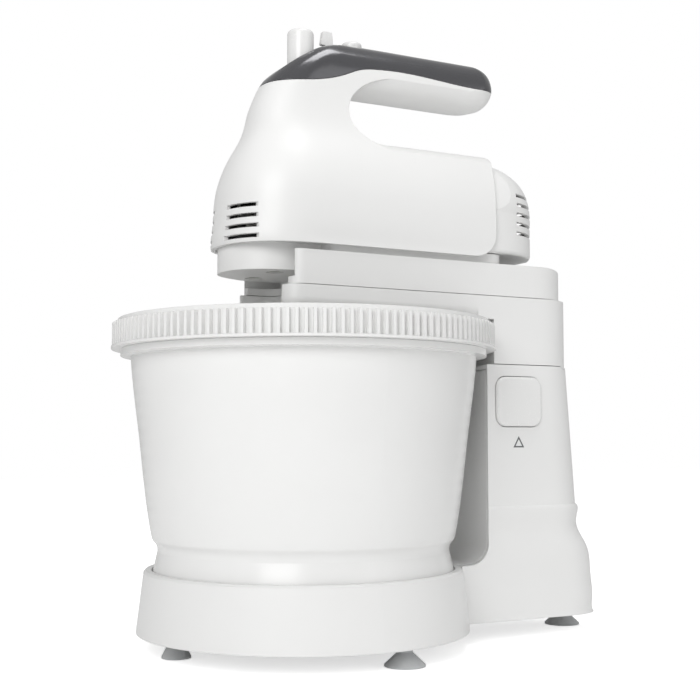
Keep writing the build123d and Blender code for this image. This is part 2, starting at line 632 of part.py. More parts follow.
# Jacket: body shell, neck and lower half of the handle
jacket = mixer_outer - cap_side(-seam / 2) - mixer_void
boss_spots = [(s * 31.0, y) for s in (-1, 1) for y in (16.0, 94.0)]
for x, y in boss_spots:
    jacket += drum(4.0, skirt_z + 4.5, skirt_z + body_top, x, y) & mixer_outer
    jacket -= drum(screw_r + fit, skirt_z + 4, skirt_z + 22, x, y)
vent_pitch = 6.1
for s in (-1, 1):
    for i in range(4):
        level = skirt_z + 3.6 + i * vent_pitch
        slot = block(9, 60, nose_y - 20, nose_y + 13, level - 1.2, level + 1.2)
        jacket -= slot if s > 0 else mirror(slot, Plane.YZ)
parts["jacket"] = jacket

# Dark cap on the handle with the holes of the controls
handle_cap = (mixer_outer & cap_side(seam / 2)) - mixer_void
control_z = skirt_z + 100
handle_cap -= drum(eject_r + run, control_z, control_z + 60, 0, eject_y)
handle_cap -= drum(turbo_r + run, control_z, control_z + 60, 0, turbo_y)
slot_ring = drum(fin_reach + 1.9, control_z, control_z + 60, 0, turbo_y)
slot_ring -= drum(fin_reach - 1.9, control_z - 1, control_z + 61, 0, turbo_y)
slot_way = radians(selector_swing + 10)
slot_ring &= extrude(Pos(0, turbo_y, control_z) * poly([(0, 0), (-40 * sin(slot_way), -40 * cos(slot_way)), (0, -60),
                                                        (40 * sin(slot_way), -40 * cos(slot_way))]), amount=60)
handle_cap -= slot_ring
parts["handle_cap"] = handle_cap.solids().sort_by(SortBy.VOLUME)[-1]

# Rear cover: inset behind the jacket's bowed edge, slotted for air
cover_front = jacket_side_rear - 11.0
cover_low = 3.6
cover_half = mixer_half - wall - seam
cover_slices = [(0.0, 1.0, 68.5), (0.2, 0.992, 68.2), (0.4, 0.966, 67.0), (0.6, 0.9, 64.0), (0.8, 0.75, 58.5),
                (1.0, 0.36, 50.5)]
cover_wall = 2.2


def cover_form(inset):
    """The rear cover's form, or the space inside it."""
    sections = []
    for share, width, high in cover_slices:
        way = cover_front + share * (cover_rear - inset - cover_front)
        half = width * cover_half - inset
        top = skirt_z + high - inset
        foot = skirt_z + cover_low + inset
        line = Spline((half, foot + 0.42 * (top - foot)), (half * 0.93, top - 0.28 * (top - foot)),
                      (half * 0.73, top - 0.13 * (top - foot)), (half * 0.4, top - 0.035 * (top - foot)), (0, top),
                      (-half * 0.4, top - 0.035 * (top - foot)), (-half * 0.73, top - 0.13 * (top - foot)),
                      (-half * 0.93, top - 0.28 * (top - foot)), (-half, foot + 0.42 * (top - foot)))
        soft = 2.5 - inset / 2
        base = Polyline(line @ 1, (-half, foot + soft)) + RadiusArc((-half, foot + soft), (-half + soft, foot), -soft)
        base += Line((-half + soft, foot), (half - soft, foot))
        base += RadiusArc((half - soft, foot), (half, foot + soft), -soft) + Line((half, foot + soft), line @ 0)
        sections.append(Plane.XZ.offset(-way) * make_face(line + base))
    form = loft(sections)
    if inset:
        form += extrude(sections[0].faces()[0], amount=10)
    return form & mixer_form(wall + seam + inset)


rear_cover = cover_form(0.0) - cover_form(cover_wall)
rear_vents = 5
for i in range(rear_vents):
    level = skirt_z + 17.9 + i * vent_pitch
    rear_cover -= block(-big, big, cover_rear - 24.5, cover_rear + 5, level - 1.1, level + 1.1)
inlet_r = 4.2
inlet_z = skirt_z + 11.6
rear_cover += block(-1.2, 1.2, cover_rear - cover_wall - 2, cover_rear - cover_wall / 2, inlet_z + inlet_r + 0.4,
                    skirt_z + 20 + rear_vents * vent_pitch) & cover_form(0.0)
rear_cover -= shaft(inlet_r, cover_rear - 12, cover_rear + 5, inlet_z)
rear_cover = rear_cover.solids().sort_by(SortBy.VOLUME)[-1]
parts["rear_cover"] = rear_cover
inlet_bush = shaft(inlet_r - fit, cover_rear - 8, cover_rear + 0.6, inlet_z)
inlet_bush += shaft(inlet_r + 1.2, cover_rear - 8, cover_rear - cover_wall - 2.6, inlet_z)
parts["inlet_bush"] = inlet_bush - shaft(inlet_r - 1.6, cover_rear - 10, cover_rear + 5, inlet_z)

# Lower housing: tub in the cradle and nose boss in the fork
flange_low = skirt_z + 1.0


def tub_form(inset, low, high):
    """The tub with its narrower nose, at one inset."""
    half = tub_half - inset
    front = fork_depth + 1.5 + inset
    rear = jacket_rear + 2 - inset
    tub = extrude(Pos(0, (front + rear) / 2, low) * RectangleRounded(2 * half, rear - front, 9.0 - inset / 2),
                  amount=high - low)
    nose = nose_y + 2.6 + inset
    side_x = boss_half - inset
    line = Spline((side_x, -12), (side_x * 0.96, nose + 22), (side_x * 0.55, nose + 4.6), (0, nose),
                  (-side_x * 0.55, nose + 4.6), (-side_x * 0.96, nose + 22), (-side_x, -12), tangents=((0, -1), (0, 1)))
    boss = make_face(line + Polyline(line @ 1, (-side_x, 10), (side_x, 10), line @ 0))
    boss_floor = max(low, skirt_z + boss_low + inset)
    return tub + extrude(Pos(0, 0, boss_floor) * boss, amount=high - boss_floor)


lower_housing = tub_form(0.0, skirt_z + tub_low, flange_low + 2)
lower_housing += mixer_form(wall + seam) & block(-60, 60, nose_y - 5, cover_front - 1, flange_low, flange_low + 2)
lower_housing -= tub_form(cover_wall, skirt_z + tub_low + cover_wall, flange_low + 5)
spindle_r = 5.0
for s in (-1, 1):
    lower_housing -= drum(spindle_r + run, skirt_z - 30, skirt_z, s * spindle_side, spindle_y)
housing_screws = []
for x, y in boss_spots:
    lower_housing += drum(4.6, skirt_z + tub_low, flange_low + 2, x, y)
    lower_housing -= drum(3.3, skirt_z + tub_low - 1, skirt_z - 4, x, y)
    lower_housing -= drum(screw_r + 0.15, skirt_z - 5, flange_low + 3, x, y)
    housing_screws.append(drum(2.9, skirt_z - 6.4, skirt_z - 4.05, x, y)
                          + drum(screw_r, skirt_z - 4.05, skirt_z + 19, x, y))
parts["lower_housing"] = lower_housing
parts["housing_screws"] = Part() + housing_screws

# Motor, gear frame and spindles
motor_front = motor_y - motor_length / 2
motor_back = motor_y + motor_length / 2
stator = shaft(stator_r, motor_front, motor_back, motor_z) & block(
    -stator_r, stator_r, motor_front, motor_back, motor_z - 21, motor_z + 21)
stator -= shaft(rotor_r + 0.8, motor_front - 1, motor_back + 1, motor_z)
for s in (-1, 1):
    stator -= block(s * 19.5 - 3, s * 19.5 + 3, motor_front - 1, motor_back + 1, motor_z - 9, motor_z + 9)
parts["motor_stator"] = stator
armature = shaft(shaft_r, spindle_y - 14, motor_back + 28, motor_z)
armature += shaft(rotor_r, motor_front, motor_back, motor_z)
armature += shaft(9.0, motor_back + 3, motor_back + 10, motor_z)
armature += shaft(worm_r, spindle_y - 10, spindle_y + 10, motor_z)
parts["armature"] = armature
fan_y = motor_back + 12.5
fan = shaft(7.0, fan_y, fan_y + 8, motor_z)
for i in range(9):
    blade = block(-0.7, 0.7, fan_y, fan_y + 7, 5, 21)
    fan += Pos(0, 0, motor_z) * Rot(0, 40 * i, 0) * blade
fan += shaft(21.0, fan_y + 7, fan_y + 8, motor_z)
parts["cooling_fan"] = fan - shaft(shaft_r + 0.02, fan_y - 5, fan_y + 15, motor_z)
frame_y = 6.0
frame_low = skirt_z + 6.0
frame_high = motor_z + 10.0
frame_plan = Pos(0, (spindle_y - 13 + frame_y + 5) / 2, 0) * RectangleRounded(46, frame_y + 5 - spindle_y + 13, 12)
gear_frame = extrude(Pos(0, 0, frame_low) * frame_plan, amount=3)
gear_frame += extrude(Pos(0, 0, frame_high) * frame_plan, amount=3)
gear_frame += block(-23, 23, frame_y - 3, frame_y + 3, frame_low, frame_high + 3)
gear_frame -= shaft(6.0 + 0.02, frame_y - 9, frame_y + 9, motor_z)
for s in (-1, 1):
    gear_frame -= drum(spindle_r + fit, frame_low - 1, frame_high + 9, s * spindle_side, spindle_y)
parts["gear_frame"] = gear_frame
bearing_y = motor_back + 26.0
parts["front_bearing"] = shaft(6.0, frame_y - 3, frame_y + 3, motor_z) - shaft(shaft_r + fit, 0, 20, motor_z)
bearing_bar = block(-30, 30, bearing_y - 2.5, bearing_y + 2.5, motor_z - 6, motor_z + 6)
bearing_bar = fillet(bearing_bar.edges().filter_by(Axis.Y), 3.0)
parts["rear_bearing"] = bearing_bar - shaft(shaft_r + fit, bearing_y - 9, bearing_y + 9, motor_z)
brushes = [block(s * 17 - 7, s * 17 + 7, motor_back + 3.5, motor_back + 9.5, motor_z - 4, motor_z + 4)
           + block(s * 23.3 - 0.7, s * 23.3 + 0.7, motor_back, motor_back + 3.5, motor_z - 4, motor_z + 4)
           for s in (-1, 1)]
parts["brush_holders"] = Part() + brushes
spindle_low = skirt_z + boss_low + run
wheel_teeth = 24
wheel_r = spindle_side - worm_r - run
for s, name in ((-1, "spindle_right"), (1, "spindle_left")):
    wheel = extrude(Pos(s * spindle_side, spindle_y, motor_z - 4)
                    * toothed(wheel_teeth, wheel_r - 1.6, wheel_r, 1.7, 0.9, 0.0), amount=8)
    wheel += drum(spindle_r, spindle_low, frame_high + 5, s * spindle_side, spindle_y)
    wheel -= drum(socket_r, spindle_low, spindle_low + socket_depth, s * spindle_side, spindle_y)
    wheel -= drum(pusher_r + run, spindle_low, frame_high + 5, s * spindle_side, spindle_y)
    parts[name] = wheel

# Eject button with its rod and yoke over the spindles
eject_top = skirt_z + 138.5
eject_button = fillet(drum(eject_r, skirt_z + 98, eject_top, 0, eject_y).edges().group_by(Axis.Z)[-1], 2.6)
parts["eject_button"] = eject_button
yoke_z = skirt_z + 49.0
eject_yoke = extrude(Pos(0, (spindle_y - 6 + eject_y + 6) / 2, yoke_z)
                     * RectangleRounded(2 * spindle_side + 8, eject_y - spindle_y + 12, 5), amount=2.5)
eject_yoke += drum(3.4, yoke_z, skirt_z + 97.95, 0, eject_y)
for s in (-1, 1):
    eject_yoke += drum(pusher_r, spindle_low + socket_depth + 3.6, yoke_z, s * spindle_side, spindle_y)
parts["eject_yoke"] = eject_yoke

# Speed selector that swings about the turbo button, and the turbo button
turbo_button = drum(turbo_r, skirt_z + 117, skirt_z + 136, 0, turbo_y)
parts["turbo_button"] = fillet(turbo_button.edges().group_by(Axis.Z)[-1], 1.8)
lever_z = skirt_z + 120.5
fin_y = turbo_y - fin_reach
selector = drum(11.0, lever_z, lever_z + 2.4, 0, turbo_y) + block(-1.4, 1.4, fin_y - 1.4, turbo_y, lever_z, lever_z + 2.4)
selector -= drum(turbo_r + run, lever_z - 1, lever_z + 4, 0, turbo_y)
selector += block(-1.4, 1.4, fin_y - 1.4, fin_y + 1.4, lever_z, skirt_z + 133)
fin = poly([(fin_y - 4.6, skirt_z + 131.9), (fin_y - 3.2, skirt_z + 140.6), (fin_y + 3.0, skirt_z + 140.6),
            (fin_y + 4.0, skirt_z + 131.9)], 0.9)
parts["speed_selector"] = selector + side(fin, 1.4)
parts["switch_block"] = block(-8, 8, turbo_y - 14, turbo_y + 20, skirt_z + 105.5, skirt_z + 113)

# Every piece is set with the middle of the object over the origin
os.makedirs("parts", exist_ok=True)
for name, piece in parts.items():
    export_step(Pos(0, bowl_y, 0) * piece, f"parts/{name}.step")
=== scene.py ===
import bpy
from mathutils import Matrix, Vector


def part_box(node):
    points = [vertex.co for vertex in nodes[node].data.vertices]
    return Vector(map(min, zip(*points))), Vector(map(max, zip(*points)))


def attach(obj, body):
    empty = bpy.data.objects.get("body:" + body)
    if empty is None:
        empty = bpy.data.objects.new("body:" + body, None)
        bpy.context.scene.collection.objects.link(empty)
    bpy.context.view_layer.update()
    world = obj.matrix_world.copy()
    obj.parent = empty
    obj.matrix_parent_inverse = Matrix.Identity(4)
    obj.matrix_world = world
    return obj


bl_info = {
    "name": "Stand hand mixer",
    "version": (1, 0, 0),
    "blender": (4, 5, 0),
    "location": "View3D > Sidebar > Mixer",
    "description": "Finishes a hand mixer on its tilting stand with a turning bowl",
    "category": "Object",
}

import math

import bpy
from bpy.props import FloatProperty, FloatVectorProperty, PointerProperty, StringProperty
from mathutils import Vector

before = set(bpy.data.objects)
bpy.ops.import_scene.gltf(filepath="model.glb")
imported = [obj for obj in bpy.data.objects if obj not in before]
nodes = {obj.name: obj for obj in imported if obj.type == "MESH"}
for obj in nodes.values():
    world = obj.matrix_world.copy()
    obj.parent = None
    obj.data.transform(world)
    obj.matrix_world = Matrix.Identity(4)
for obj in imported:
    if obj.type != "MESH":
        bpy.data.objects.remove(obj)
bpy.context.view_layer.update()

WHITE_MOULDINGS = (
    "base_body", "column_shell", "base_cover", "column_cover", "arm_lower", "arm_upper",
    "jacket", "rear_cover", "lower_housing",
)
BOWL = ("bowl", "bowl_ring")
WHITE_CONTROLS = ("release_button", "eject_button", "turbo_button", "speed_selector")
RUBBER = ("suction_foot_right", "suction_foot_left", "suction_foot_rear", "front_pad", "inlet_bush")
NYLON = ("collar_gear", "front_idler", "rear_idler", "pinion_gear", "bowl_pinion", "bowl_pin", "latch_slide",
         "spindle_right", "spindle_left")
STEEL = ("base_screws", "arm_screws", "housing_screws", "hinge_pin", "gear_posts")
LAMINATIONS = ("motor_stator", "armature")
BRONZE = ("front_bearing", "rear_bearing", "brush_holders")
BLACK = ("cooling_fan", "gear_frame", "eject_yoke", "switch_block")

# Sizes that several finishes and the stage share, in metres but for the sensor
EDGE = 0.0006           # radius along moulded edges
RELIEF = 0.0001         # depth of the grain, rings and pits
FLOOR_WIDTH = 6.0
FLOOR_GAP = 0.0002      # floor below the feet
SENSOR_MM = 36.0
NEAR_CLIP = 0.01

# Lamps: name, place, aim, width in metres and power in watts
LAMPS = (
    ("key_lamp", (1.15, -1.15, 0.95), (0, -0.03, 0.2), 0.9, 13.0),
    ("side_lamp", (1.5, 0.9, 0.8), (0, 0.05, 0.2), 0.9, 1.8),
    ("top_lamp", (0.2, 0.1, 1.3), (0, -0.02, 0.35), 0.5, 4.0),
)


class MixerFinish(bpy.types.PropertyGroup):
    """Colours of the mouldings and trims, as sRGB hex values"""

    white: StringProperty(name="White", description="Moulded housings", default="#EFEFEE")
    white_shade: StringProperty(name="White shade", description="Second tone of the housings",
                                default="#EAEAE9")
    bowl: StringProperty(name="Bowl", description="Bowl and its ring", default="#F1F1F0")
    bowl_shade: StringProperty(name="Bowl shade", description="Second tone of the bowl", default="#ECECEB")
    graphite: StringProperty(name="Graphite", description="Cap on the handle", default="#57575A")
    fleck: StringProperty(name="Fleck", description="Metal flake in the cap", default="#8C8D91")
    rubber: StringProperty(name="Rubber", description="Cup feet", default="#C2C4C5")
    dust: StringProperty(name="Dust", description="Dust on the rubber", default="#D2D4D4")
    nylon: StringProperty(name="Nylon", description="Gears and guides", default="#DEDEDA")
    nylon_shade: StringProperty(name="Nylon shade", description="Second tone of the nylon", default="#D2D2CC")
    black: StringProperty(name="Black", description="Inner plastic pieces", default="#1B1B1D")
    fibre: StringProperty(name="Fibre", description="Glass fibres in the black pieces", default="#343437")
    steel: StringProperty(name="Steel", description="Screws and pins", default="#C3C4C6")
    steel_tint: StringProperty(name="Steel tint", description="Bloom of the plating", default="#AEB4BC")
    lamination: StringProperty(name="Lamination", description="Motor stampings", default="#4A4643")
    bronze: StringProperty(name="Bronze", description="Bearings and brush holders", default="#B08D57")
    pore: StringProperty(name="Pore", description="Oily pores of the bronze", default="#5C4626")
    ink: StringProperty(name="Ink", description="Sign below the release button", default="#58595B")
    ink_thin: StringProperty(name="Thin ink", description="Ink where the film is thin", default="#6E6F71")


class MixerSizes(bpy.types.PropertyGroup):
    """Sizes of the pieces added here"""

    sign_drop: FloatProperty(name="Sign drop", description="Sign centre below the button", default=0.0107,
                             unit="LENGTH")
    sign_size: FloatProperty(name="Sign size", description="Centre to corner of the sign", default=0.0047,
                             unit="LENGTH")
    sign_stroke: FloatProperty(name="Sign stroke", description="Width of the sign's line", default=0.0009,
                               unit="LENGTH")
    ink: FloatProperty(name="Ink film", description="Thickness of the printed ink", default=0.00006,
                       unit="LENGTH")


class MixerStage(bpy.types.PropertyGroup):
    """Camera, floor and lamps"""

    floor: StringProperty(name="Floor", description="Colour of the floor and backdrop", default="#FFFFFF")
    eye: FloatVectorProperty(name="Eye", description="Camera place", size=3, unit="LENGTH",
                             default=(0.6625, -0.3620, 0.1242))
    heading: FloatProperty(name="Heading", description="Camera heading from -X towards +Y", subtype="ANGLE",
                           default=math.radians(27.8))
    pitch: FloatProperty(name="Pitch", description="Camera tilt upwards", subtype="ANGLE",
                         default=math.radians(4.15))
    lens: FloatProperty(name="Lens", description="Focal length on a 36 mm sensor", default=62.28,
                        unit="CAMERA")
    world: FloatProperty(name="World", description="Strength of the even light", default=0.44)
    floor_glow: FloatProperty(name="Floor glow", description="Lift of the floor towards white", default=0.6)


def linear(code):
    """Linear colour of an sRGB hex value."""
    values = [int(code[i:i + 2], 16) / 255 for i in (1, 3, 5)]
    return tuple(v / 12.92 if v <= 0.04045 else ((v + 0.055) / 1.055) ** 2.4 for v in values) + (1.0,)


def add(tree, kind, settings=None, **links):
    """One node with its settings, fed by sockets or values. A key such as _6 is a socket's number."""
    made = tree.nodes.new(kind)
    for key, value in (settings or {}).items():
        setattr(made, key, value)
    for key, value in links.items():
        socket = made.inputs[int(key[1:])] if key[1:].isdigit() else made.inputs[key.replace("_", " ")]
        if isinstance(value, bpy.types.NodeSocket):
            tree.links.new(value, socket)
        else:
            socket.default_value = value
    return made


def start(name):
    """A fresh material with an empty tree and its output."""
    material = bpy.data.materials.new(name)
    material.use_nodes = True
    material.node_tree.nodes.clear()
    return material, material.node_tree, material.node_tree.nodes.new("ShaderNodeOutputMaterial")


def per_mm(size):
    """Texture scale whose features are this many millimetres wide."""
    return 1000.0 / size


def blend(tree, factor, first, second):
    """Colour between two hex values, led by a factor."""
    mixed = add(tree, "ShaderNodeMix", {"data_type": "RGBA"}, Factor=factor, _6=linear(first),
                _7=linear(second))
    return mixed.outputs[2]


def soft_edges(tree):
    """Normal that rounds moulded edges, so that they catch the light."""
    return add(tree, "ShaderNodeBevel", {"samples": 4}, Radius=EDGE).outputs["Normal"]


def finish_surface(tree, out, shader):
    """Sends a shader to the material's output."""
    tree.links.new(shader.outputs["BSDF"], out.inputs["Surface"])


def moulded_abs(name, code, shade, rough, grain_mm, depth):
    """Moulded ABS: an even skin from the tool, so the eye sees soft gloss, faint grain and rounded edges."""
    material, tree, out = start(name)
    place = add(tree, "ShaderNodeTexCoord").outputs["Object"]
    # Cooling leaves patches about 60 mm wide that differ slightly in tone and gloss
    drift = add(tree, "ShaderNodeTexNoise", Vector=place, Scale=per_mm(60.0), Detail=3.0)
    tone = blend(tree, drift.outputs["Fac"], code, shade)
    # Handling leaves short rubs about 9 mm long and under 1 mm wide
    lie = add(tree, "ShaderNodeMapping", Vector=place, Rotation=(0.3, 0.5, 0.9), Scale=(1.0, 9.0, 5.0))
    rubs = add(tree, "ShaderNodeTexNoise", Vector=lie.outputs["Vector"], Scale=per_mm(9.0), Detail=4.0)
    rubbed = add(tree, "ShaderNodeMapRange", Value=rubs.outputs["Fac"], From_Min=0.56, From_Max=0.74,
                 To_Min=0.0, To_Max=0.07)
    gloss = add(tree, "ShaderNodeMapRange", Value=drift.outputs["Fac"], From_Min=0.3, From_Max=0.7,
                To_Min=rough - 0.03, To_Max=rough + 0.03)
    worn = add(tree, "ShaderNodeMath", {"operation": "ADD"}, _0=gloss.outputs["Result"],
               _1=rubbed.outputs["Result"])
    grain = add(tree, "ShaderNodeTexNoise", Vector=place, Scale=per_mm(grain_mm), Detail=2.0)
    edges = soft_edges(tree)
    bump = add(tree, "ShaderNodeBump", Strength=depth, Distance=RELIEF, Height=grain.outputs["Fac"],
               Normal=edges)
    shader = add(tree, "ShaderNodeBsdfPrincipled", Base_Color=tone, IOR=1.53,
                 Roughness=worn.outputs["Value"], Normal=bump.outputs["Normal"])
    finish_surface(tree, out, shader)
    return material


def glossy_polypropylene(name, code, shade, rough):
    """Moulded polypropylene from a turned steel tool: glossy, slightly milky, with very faint level rings."""
    material, tree, out = start(name)
    place = add(tree, "ShaderNodeTexCoord").outputs["Object"]
    flow = add(tree, "ShaderNodeTexNoise", Vector=place, Scale=per_mm(45.0), Detail=3.0)
    tone = blend(tree, flow.outputs["Fac"], code, shade)
    # Polishing rings of the tool, 0.3 mm apart on the real bowl, drawn 1.2 mm apart so that they show
    rings = add(tree, "ShaderNodeTexWave", {"bands_direction": "Z"}, Vector=place, Scale=per_mm(1.2) / 20,
                Distortion=0.6, Detail=2.0)
    gloss = add(tree, "ShaderNodeMapRange", Value=rings.outputs["Fac"], To_Min=rough, To_Max=rough + 0.05)
    edges = soft_edges(tree)
    bump = add(tree, "ShaderNodeBump", Strength=0.02, Distance=RELIEF, Height=rings.outputs["Fac"],
               Normal=edges)
    shader = add(tree, "ShaderNodeBsdfPrincipled", Base_Color=tone, IOR=1.49,
                 Roughness=gloss.outputs["Result"], Normal=bump.outputs["Normal"])
    shader.inputs["Subsurface Weight"].default_value = 0.06
    shader.inputs["Subsurface Radius"].default_value = (0.002, 0.002, 0.002)
    finish_surface(tree, out, shader)
    return material


def graphite_abs(name, code, fleck):
    """Graphite-coloured ABS with fine metal flake under a polished skin: dark, with a clear sheen."""
    material, tree, out = start(name)
    place = add(tree, "ShaderNodeTexCoord").outputs["Object"]
    # Flake of about 0.1 mm, drawn 0.16 mm wide
    flakes = add(tree, "ShaderNodeTexVoronoi", Vector=place, Scale=per_mm(0.16))
    part = add(tree, "ShaderNodeMapRange", Value=flakes.outputs["Color"], From_Min=0.55, From_Max=1.0,
               To_Min=0.0, To_Max=0.3)
    tone = blend(tree, part.outputs["Result"], code, fleck)
    touch = add(tree, "ShaderNodeTexNoise", Vector=place, Scale=per_mm(16.0), Detail=4.0)
    gloss = add(tree, "ShaderNodeMapRange", Value=touch.outputs["Fac"], From_Min=0.3, From_Max=0.7,
                To_Min=0.16, To_Max=0.22)
    edges = soft_edges(tree)
    shader = add(tree, "ShaderNodeBsdfPrincipled", Base_Color=tone, IOR=1.54, Metallic=0.55,
                 Roughness=gloss.outputs["Result"], Normal=edges)
    shader.inputs["Coat Weight"].default_value = 0.5
    shader.inputs["Coat Roughness"].default_value = 0.12
    finish_surface(tree, out, shader)
    return material


def soft_rubber(name, code, dust):
    """Moulded soft rubber: dull, finely pitted, with pale dust in patches."""
    material, tree, out = start(name)
    place = add(tree, "ShaderNodeTexCoord").outputs["Object"]
    patches = add(tree, "ShaderNodeTexNoise", Vector=place, Scale=per_mm(7.0), Detail=5.0)
    dusty = add(tree, "ShaderNodeMapRange", Value=patches.outputs["Fac"], From_Min=0.45, From_Max=0.75,
                To_Min=0.0, To_Max=0.5)
    tone = blend(tree, dusty.outputs["Result"], code, dust)
    pits = add(tree, "ShaderNodeTexNoise", Vector=place, Scale=per_mm(0.6), Detail=2.0)
    bump = add(tree, "ShaderNodeBump", Strength=0.25, Distance=RELIEF, Height=pits.outputs["Fac"])
    shader = add(tree, "ShaderNodeBsdfPrincipled", Base_Color=tone, IOR=1.52, Roughness=0.62,
                 Normal=bump.outputs["Normal"])
    shader.inputs["Sheen Weight"].default_value = 0.15
    finish_surface(tree, out, shader)
    return material


def natural_nylon(name, code, shade):
    """Moulded natural nylon: milky, waxy, with flow marks a few millimetres wide."""
    material, tree, out = start(name)
    place = add(tree, "ShaderNodeTexCoord").outputs["Object"]
    flow = add(tree, "ShaderNodeTexNoise", Vector=place, Scale=per_mm(5.0), Detail=4.0, Distortion=1.5)
    tone = blend(tree, flow.outputs["Fac"], code, shade)
    gloss = add(tree, "ShaderNodeMapRange", Value=flow.outputs["Fac"], From_Min=0.3, From_Max=0.7,
                To_Min=0.34, To_Max=0.48)
    shader = add(tree, "ShaderNodeBsdfPrincipled", Base_Color=tone, IOR=1.53,
                 Roughness=gloss.outputs["Result"])
    shader.inputs["Subsurface Weight"].default_value = 0.12
    shader.inputs["Subsurface Radius"].default_value = (0.0015, 0.0015, 0.0012)
    finish_surface(tree, out, shader)
    return material


def filled_nylon(name, code, fibre):
    """Black glass-filled nylon: matt, with pale fibre streaks that lie along the flow."""
    material, tree, out = start(name)
    place = add(tree, "ShaderNodeTexCoord").outputs["Object"]
    lie = add(tree, "ShaderNodeMapping", Vector=place, Scale=(1.0, 0.12, 1.0))
    fibres = add(tree, "ShaderNodeTexNoise", Vector=lie.outputs["Vector"], Scale=per_mm(0.5), Detail=2.0)
    part = add(tree, "ShaderNodeMapRange", Value=fibres.outputs["Fac"], From_Min=0.55, From_Max=0.8)
    tone = blend(tree, part.outputs["Result"], code, fibre)
    bump = add(tree, "ShaderNodeBump", Strength=0.15, Distance=RELIEF, Height=fibres.outputs["Fac"])
    shader = add(tree, "ShaderNodeBsdfPrincipled", Base_Color=tone, IOR=1.53, Roughness=0.55,
                 Normal=bump.outputs["Normal"])
    finish_surface(tree, out, shader)
    return material


def zinc_steel(name, code, tint):
    """Zinc-plated turned steel: bright and slightly cloudy, with a bluish passivated bloom."""
    material, tree, out = start(name)
    place = add(tree, "ShaderNodeTexCoord").outputs["Object"]
    bloom = add(tree, "ShaderNodeTexNoise", Vector=place, Scale=per_mm(2.5), Detail=4.0)
    tone = blend(tree, bloom.outputs["Fac"], code, tint)
    gloss = add(tree, "ShaderNodeMapRange", Value=bloom.outputs["Fac"], From_Min=0.3, From_Max=0.7,
                To_Min=0.24, To_Max=0.4)
    shader = add(tree, "ShaderNodeBsdfPrincipled", Base_Color=tone, Metallic=1.0,
                 Roughness=gloss.outputs["Result"])
    finish_surface(tree, out, shader)
    return material


def stamped_laminations(name, code, gap):
    """A stack of varnished steel stampings: thin dark lines between sheets with a brown-black gloss."""
    material, tree, out = start(name)
    place = add(tree, "ShaderNodeTexCoord").outputs["Object"]
    # Sheets of 0.5 mm, drawn 1 mm thick so that they show
    sheets = add(tree, "ShaderNodeTexWave", {"bands_direction": "Y"}, Vector=place, Scale=per_mm(1.0) / 20)
    part = add(tree, "ShaderNodeMapRange", Value=sheets.outputs["Fac"], From_Min=0.0, From_Max=0.35)
    tone = blend(tree, part.outputs["Result"], gap, code)
    bump = add(tree, "ShaderNodeBump", Strength=0.3, Distance=RELIEF, Height=sheets.outputs["Fac"])
    shader = add(tree, "ShaderNodeBsdfPrincipled", Base_Color=tone, Metallic=0.7, Roughness=0.38,
                 Normal=bump.outputs["Normal"])
    finish_surface(tree, out, shader)
    return material


def sintered_bronze(name, code, pore):
    """Pressed and sintered bronze: warm, dull metal with oil-dark pores."""
    material, tree, out = start(name)
    place = add(tree, "ShaderNodeTexCoord").outputs["Object"]
    pores = add(tree, "ShaderNodeTexNoise", Vector=place, Scale=per_mm(0.5), Detail=3.0)
    part = add(tree, "ShaderNodeMapRange", Value=pores.outputs["Fac"], From_Min=0.36, From_Max=0.5)
    tone = blend(tree, part.outputs["Result"], pore, code)
    bump = add(tree, "ShaderNodeBump", Strength=0.3, Distance=RELIEF, Height=pores.outputs["Fac"])
    shader = add(tree, "ShaderNodeBsdfPrincipled", Base_Color=tone, Metallic=1.0, Roughness=0.42,
                 Normal=bump.outputs["Normal"])
    finish_surface(tree, out, shader)
    return material


def printed_ink(name, code, thin):
    """Pad-printed ink: matt, with a slightly uneven film."""
    material, tree, out = start(name)
    place = add(tree, "ShaderNodeTexCoord").outputs["Object"]
    film = add(tree, "ShaderNodeTexNoise", Vector=place, Scale=per_mm(0.5), Detail=3.0)
    tone = blend(tree, film.outputs["Fac"], code, thin)
    shader = add(tree, "ShaderNodeBsdfPrincipled", Base_Color=tone, IOR=1.5, Roughness=0.6)
    finish_surface(tree, out, shader)
    return material


def dress(names, material):
    """Puts one material on CAD nodes."""
    for name in names:
        node = nodes[name]
        node.data.materials.clear()
        node.data.materials.append(material)


def seat(piece, name, body, material):
    """Names a finished piece, sets it at the origin, dresses it and lets it ride on a body."""
    bpy.ops.object.transform_apply(location=True, rotation=True, scale=True)
    piece.name = piece.data.name = name
    piece.data.materials.clear()
    piece.data.materials.append(material)
    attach(piece, body)


class MIXER_OT_mouldings(bpy.types.Operator):
    """Gives the white housings their moulded finish"""
    bl_idname = "mixer.mouldings"
    bl_label = "White mouldings"

    def execute(self, context):
        finish = context.scene.mixer_finish
        tones = (finish.white, finish.white_shade)
        dress(WHITE_MOULDINGS, moulded_abs("moulded_white_abs", *tones, rough=0.36, grain_mm=0.9, depth=0.1))
        dress(WHITE_CONTROLS, moulded_abs("polished_white_abs", *tones, rough=0.24, grain_mm=0.9, depth=0.03))
        dress(BOWL, glossy_polypropylene("glossy_white_polypropylene", finish.bowl, finish.bowl_shade, 0.2))
        return {"FINISHED"}


